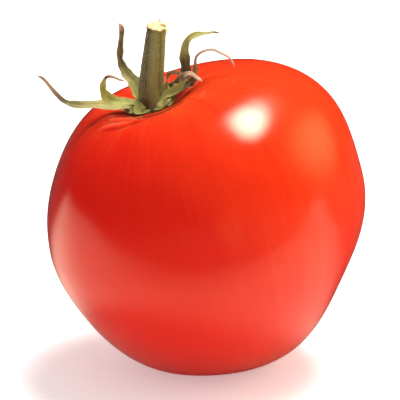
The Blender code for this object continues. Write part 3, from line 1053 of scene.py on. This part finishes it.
def makeBark():
    look = barkLook
    material, tree, shader, place = newMaterial("stalk bark")
    lines = effect(tree, "fibre", attribute(tree, "fibre", "Vector"), Scale=2600.0, Stretch=0.12)
    patches = effect(tree, "mottle", place, Scale=260.0, Contrast=2.8)
    # greener and lighter on its right side, browner and darker on its left and towards its foot: partly the
    # stalk's own colour and partly painted shade on its left and at its foot
    green = minus(tree, attribute(tree, "green"), 0.18)
    mixed = timesPlus(tree, patches, 0.36, green, clamp=True)
    colour = ramp(tree, mixed, [(0.0, look["brown"]), (0.5, look["olive"]), (1.0, look["green"])])
    colour = tinted(tree, colour, look["pale"], lines, 0.20)
    ridge = attribute(tree, "ridge")
    colour = tinted(tree, colour, look["pale"], calculate(tree, "POWER", ridge, 6.0), 0.14)
    # painted shade: the furrows between the ridges are darkened
    furrowShade = calculate(tree, "POWER", minus(tree, 1.0, ridge), 2.0)
    colour = tinted(tree, colour, look["furrowShade"], furrowShade, 0.50)
    roughness = timesPlus(tree, lines, 0.2, 0.5)
    setInputs(tree, shader, Base_Color=colour, Roughness=roughness, Sheen_Weight=0.06, Sheen_Roughness=0.35)
    grain = effect(tree, "grain", place, Scale=4200.0, Cells=0.7)
    bumped(tree, shader, timesPlus(tree, lines, 2.0, grain), 0.7, 0.00008)
    return material


pithLook = dict(cream=(0.90, 0.74, 0.40), straw=(0.74, 0.40, 0.12), rim=(0.42, 0.22, 0.07))


def makePith():
    look = pithLook
    material, tree, shader, place = newMaterial("cut pith")
    patches = effect(tree, "mottle", place, Scale=900.0, Contrast=3.0)
    colour = tinted(tree, look["cream"], look["straw"], patches, 0.5)
    rim = calculate(tree, "POWER", attribute(tree, "rim"), 7.0)
    colour = tinted(tree, colour, look["rim"], rim, 0.45)
    setInputs(
        tree, shader, Base_Color=colour, Roughness=timesPlus(tree, patches, 0.25, 0.55),
        Subsurface_Weight=0.2, Subsurface_Scale=0.0006, Subsurface_Radius=(1.0, 0.8, 0.4),
    )
    bumped(tree, shader, effect(tree, "grain", place, Scale=5200.0, Cells=1.0), 0.8, 0.00009)
    return material


hairLook = dict(cream=(0.80, 0.72, 0.55), olive=(0.55, 0.50, 0.30))


def makeHairLook():
    look = hairLook
    material, tree, shader, place = newMaterial("fine hair")
    patches = effect(tree, "mottle", place, Scale=700.0, Contrast=2.0)
    colour = mixColour(tree, patches, look["cream"], look["olive"])
    setInputs(tree, shader, Base_Color=colour, Roughness=0.45)
    return material


materials = dict(
    skin=makeSkin(), leaf=makeLeaf(), bark=makeBark(), pith=makePith(), hair=makeHairLook()
)


def finish(piece, material, node=None):
    piece.data.materials.append(materials[material])
    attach(piece, "root")
    if node:
        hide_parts(node)


finish(makeFruit(), "skin", "fruit")
print("fruit made")

leafSurfaces = []
for number, (name, sepal) in enumerate(sepals.items()):
    leaf, surface = makeSepal(name, sepal, number + 1)
    finish(leaf, "leaf", name)
    leafSurfaces.append(surface)
for number, (name, shred) in enumerate(shreds.items()):
    finish(makeShred(name, shred, number + 11)[0], "leaf")
finish(makeHub(), "leaf", "calyx_hub")
print("calyx made")

bark, barkSurface = makeStalk()
finish(bark, "bark", "stalk")
finish(makeCut(), "pith")
for number, (name, strip) in enumerate(splinters.items()):
    finish(makeSplinter(name, strip, number), "pith")
print("stalk made")

# How many hairs stand on each surface, and their length and radius
stalkHairs = dict(counts=[1500], length=0.00062, radius=0.000016)
sepalHairs = dict(counts=[260] * len(leafSurfaces), length=0.00042, radius=0.000013)
finish(makeHairs("stalk_hairs", [barkSurface], **stalkHairs), "hair")
finish(makeHairs("sepal_hairs", leafSurfaces, **sepalHairs), "hair")
print("hairs made")


floorLook = dict(
    side=3.0,
    front=-0.125,  # its mirror image is dim from here forward
    frontSoft=-0.040,  # and bright again from here back
    slope=(-0.75, 0.05),  # how the line behind the fruit runs back to the left and the right
    back=0.030,  # the mirror image is dim from this far behind that line
    backSoft=-0.030,  # and bright up to here
    glow=0.35,
    pale=(0.92, 0.92, 0.92),
    mirrored=(0.92, 0.85, 0.72),
    dark=(0.04, 0.04, 0.04),
)


def makeFloor():
    # A plain pale sheet. As a mirror image in the skin it is bright only beside the fruit: it
    # fades to a dim studio towards the front, and behind a line that runs back on both sides.
    look = floorLook
    side = look["side"]
    mesh = bpy.data.meshes.new("floor")
    corners = [(-side, -side, 0), (side, -side, 0), (side, side, 0), (-side, side, 0)]
    mesh.from_pydata(corners, [], [(0, 1, 2, 3)])
    floor = newObject("floor", mesh)
    material, tree, shader, place = newMaterial("pale floor")
    parts = addNode(tree, "ShaderNodeSeparateXYZ", Vector=place).outputs
    apart = calculate(tree, "MAXIMUM", *(times(tree, parts["X"], slope) for slope in look["slope"]))
    front = eased(tree, parts["Y"], look["front"], look["frontSoft"])
    back = eased(tree, minus(tree, parts["Y"], apart), look["back"], look["backSoft"])
    mirrored = addNode(tree, "ShaderNodeLightPath").outputs["Is Glossy Ray"]
    hidden = times(tree, mirrored, minus(tree, 1.0, times(tree, front, back)))
    bright = mixColour(tree, mirrored, look["pale"], look["mirrored"])
    setInputs(
        tree, shader, Base_Color=mixColour(tree, hidden, bright, look["dark"]),
        Emission_Color=mixColour(tree, mirrored, (look["glow"],) * 3, (0.0, 0.0, 0.0)),
        Emission_Strength=1.0, Roughness=0.8, Specular_IOR_Level=0.0,
    )
    mesh.materials.append(material)


# Directions are from the middle of the fruit, sizes in metres, and brightness is that of the
# middle of the light's own face, which fades towards its edge. mirrored says whether it shows
# in the skin.
lights = {
    "key": dict(
        towards=(0.215, 0.183, 0.959), distance=0.9, size=(0.90, 0.46), roll=-15.4,
        core=0.08, brightness=32.0, colour=(1.0, 0.98, 0.93), mirrored=True,
    ),
    "window": dict(
        towards=(0.88, 0.20, 0.43), distance=1.1, size=(1.30, 1.30), roll=0,
        core=0.06, brightness=2.7, colour=(1.0, 0.76, 0.32), mirrored=True,
    ),
    "fill": dict(
        towards=(-0.62, -0.74, 0.26), distance=1.4, size=(1.2, 1.2), roll=0,
        core=0.5, brightness=1.5, colour=(1.0, 1.0, 1.0), mirrored=False,
    ),
}


def makeLights(middle):
    for name, light in lights.items():
        lamp = bpy.data.lights.new(name, "AREA")
        lamp.shape = "ELLIPSE"
        lamp.size, lamp.size_y = light["size"]
        lamp.color = light["colour"]
        lamp.energy = light["brightness"] * math.pi * lamp.size * lamp.size_y * math.pi / 4
        lamp.use_nodes = True
        tree = lamp.node_tree
        across = addNode(tree, "ShaderNodeNewGeometry").outputs["Parametric"]
        centred = addNode(tree, "ShaderNodeVectorMath", dict(operation="SUBTRACT"))
        tree.links.new(across, centred.inputs[0])
        centred.inputs[1].default_value = (0.5, 0.5, 0)
        length = addNode(tree, "ShaderNodeVectorMath", dict(operation="LENGTH"))
        tree.links.new(centred.outputs[0], length.inputs[0])
        fade = eased(tree, length.outputs["Value"], 0.5, light["core"])
        tree.links.new(fade, tree.nodes["Emission"].inputs["Strength"])
        towards = Vector(light["towards"]).normalized()
        holder = newObject(name, lamp)
        holder.location = middle + towards * light["distance"]
        level = Vector((0, 0, 1)).cross(towards).normalized()
        facing = Matrix((level, towards.cross(level), towards)).transposed()
        turn = facing @ Matrix.Rotation(math.radians(light["roll"]), 3, "Z")
        holder.rotation_euler = turn.to_euler()
        holder.visible_glossy = light["mirrored"]


worldLook = dict(soft=(0.55, 0.55, 0.55), mirrored=(0.045, 0.030, 0.024), white=(1.0, 1.0, 1.0))


def makeWorld():
    # White where the camera looks past the floor, dim in the skin, and a soft fill elsewhere
    look = worldLook
    world = bpy.data.worlds.new("studio")
    world.use_nodes = True
    tree = world.node_tree
    path = addNode(tree, "ShaderNodeLightPath").outputs
    colour = mixColour(tree, path["Is Glossy Ray"], look["soft"], look["mirrored"])
    colour = mixColour(tree, path["Is Camera Ray"], colour, look["white"])
    setInputs(tree, tree.nodes["Background"], Color=colour)
    bpy.context.scene.world = world


cameraPlace = dict(
    elevation=math.radians(17), distance=0.60, lens=245, sensor=36, right=-0.00085, up=0.0042
)


def makeCamera(middle):
    # It looks along +Y and down by its elevation, past a point near the fruit's middle
    place = cameraPlace
    cosine, sine = math.cos(place["elevation"]), math.sin(place["elevation"])
    towards, upward = Vector((0, -cosine, sine)), Vector((0, sine, cosine))
    data = bpy.data.cameras.new("camera")
    data.lens = place["lens"]
    data.sensor_width = place["sensor"]
    data.clip_start = 0.01
    camera = newObject("camera", data)
    aside = Vector((place["right"], 0, 0))
    camera.location = middle + towards * place["distance"] + aside + upward * place["up"]
    camera.rotation_euler = towards.to_track_quat("Z", "Y").to_euler()
    bpy.context.scene.camera = camera


low, high = (Vector(corner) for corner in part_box("fruit"))
middle = (low + high) / 2
makeFloor()
makeLights(middle)
makeWorld()
makeCamera(middle)
bpy.context.scene.view_settings.view_transform = "Standard"
print("studio made")
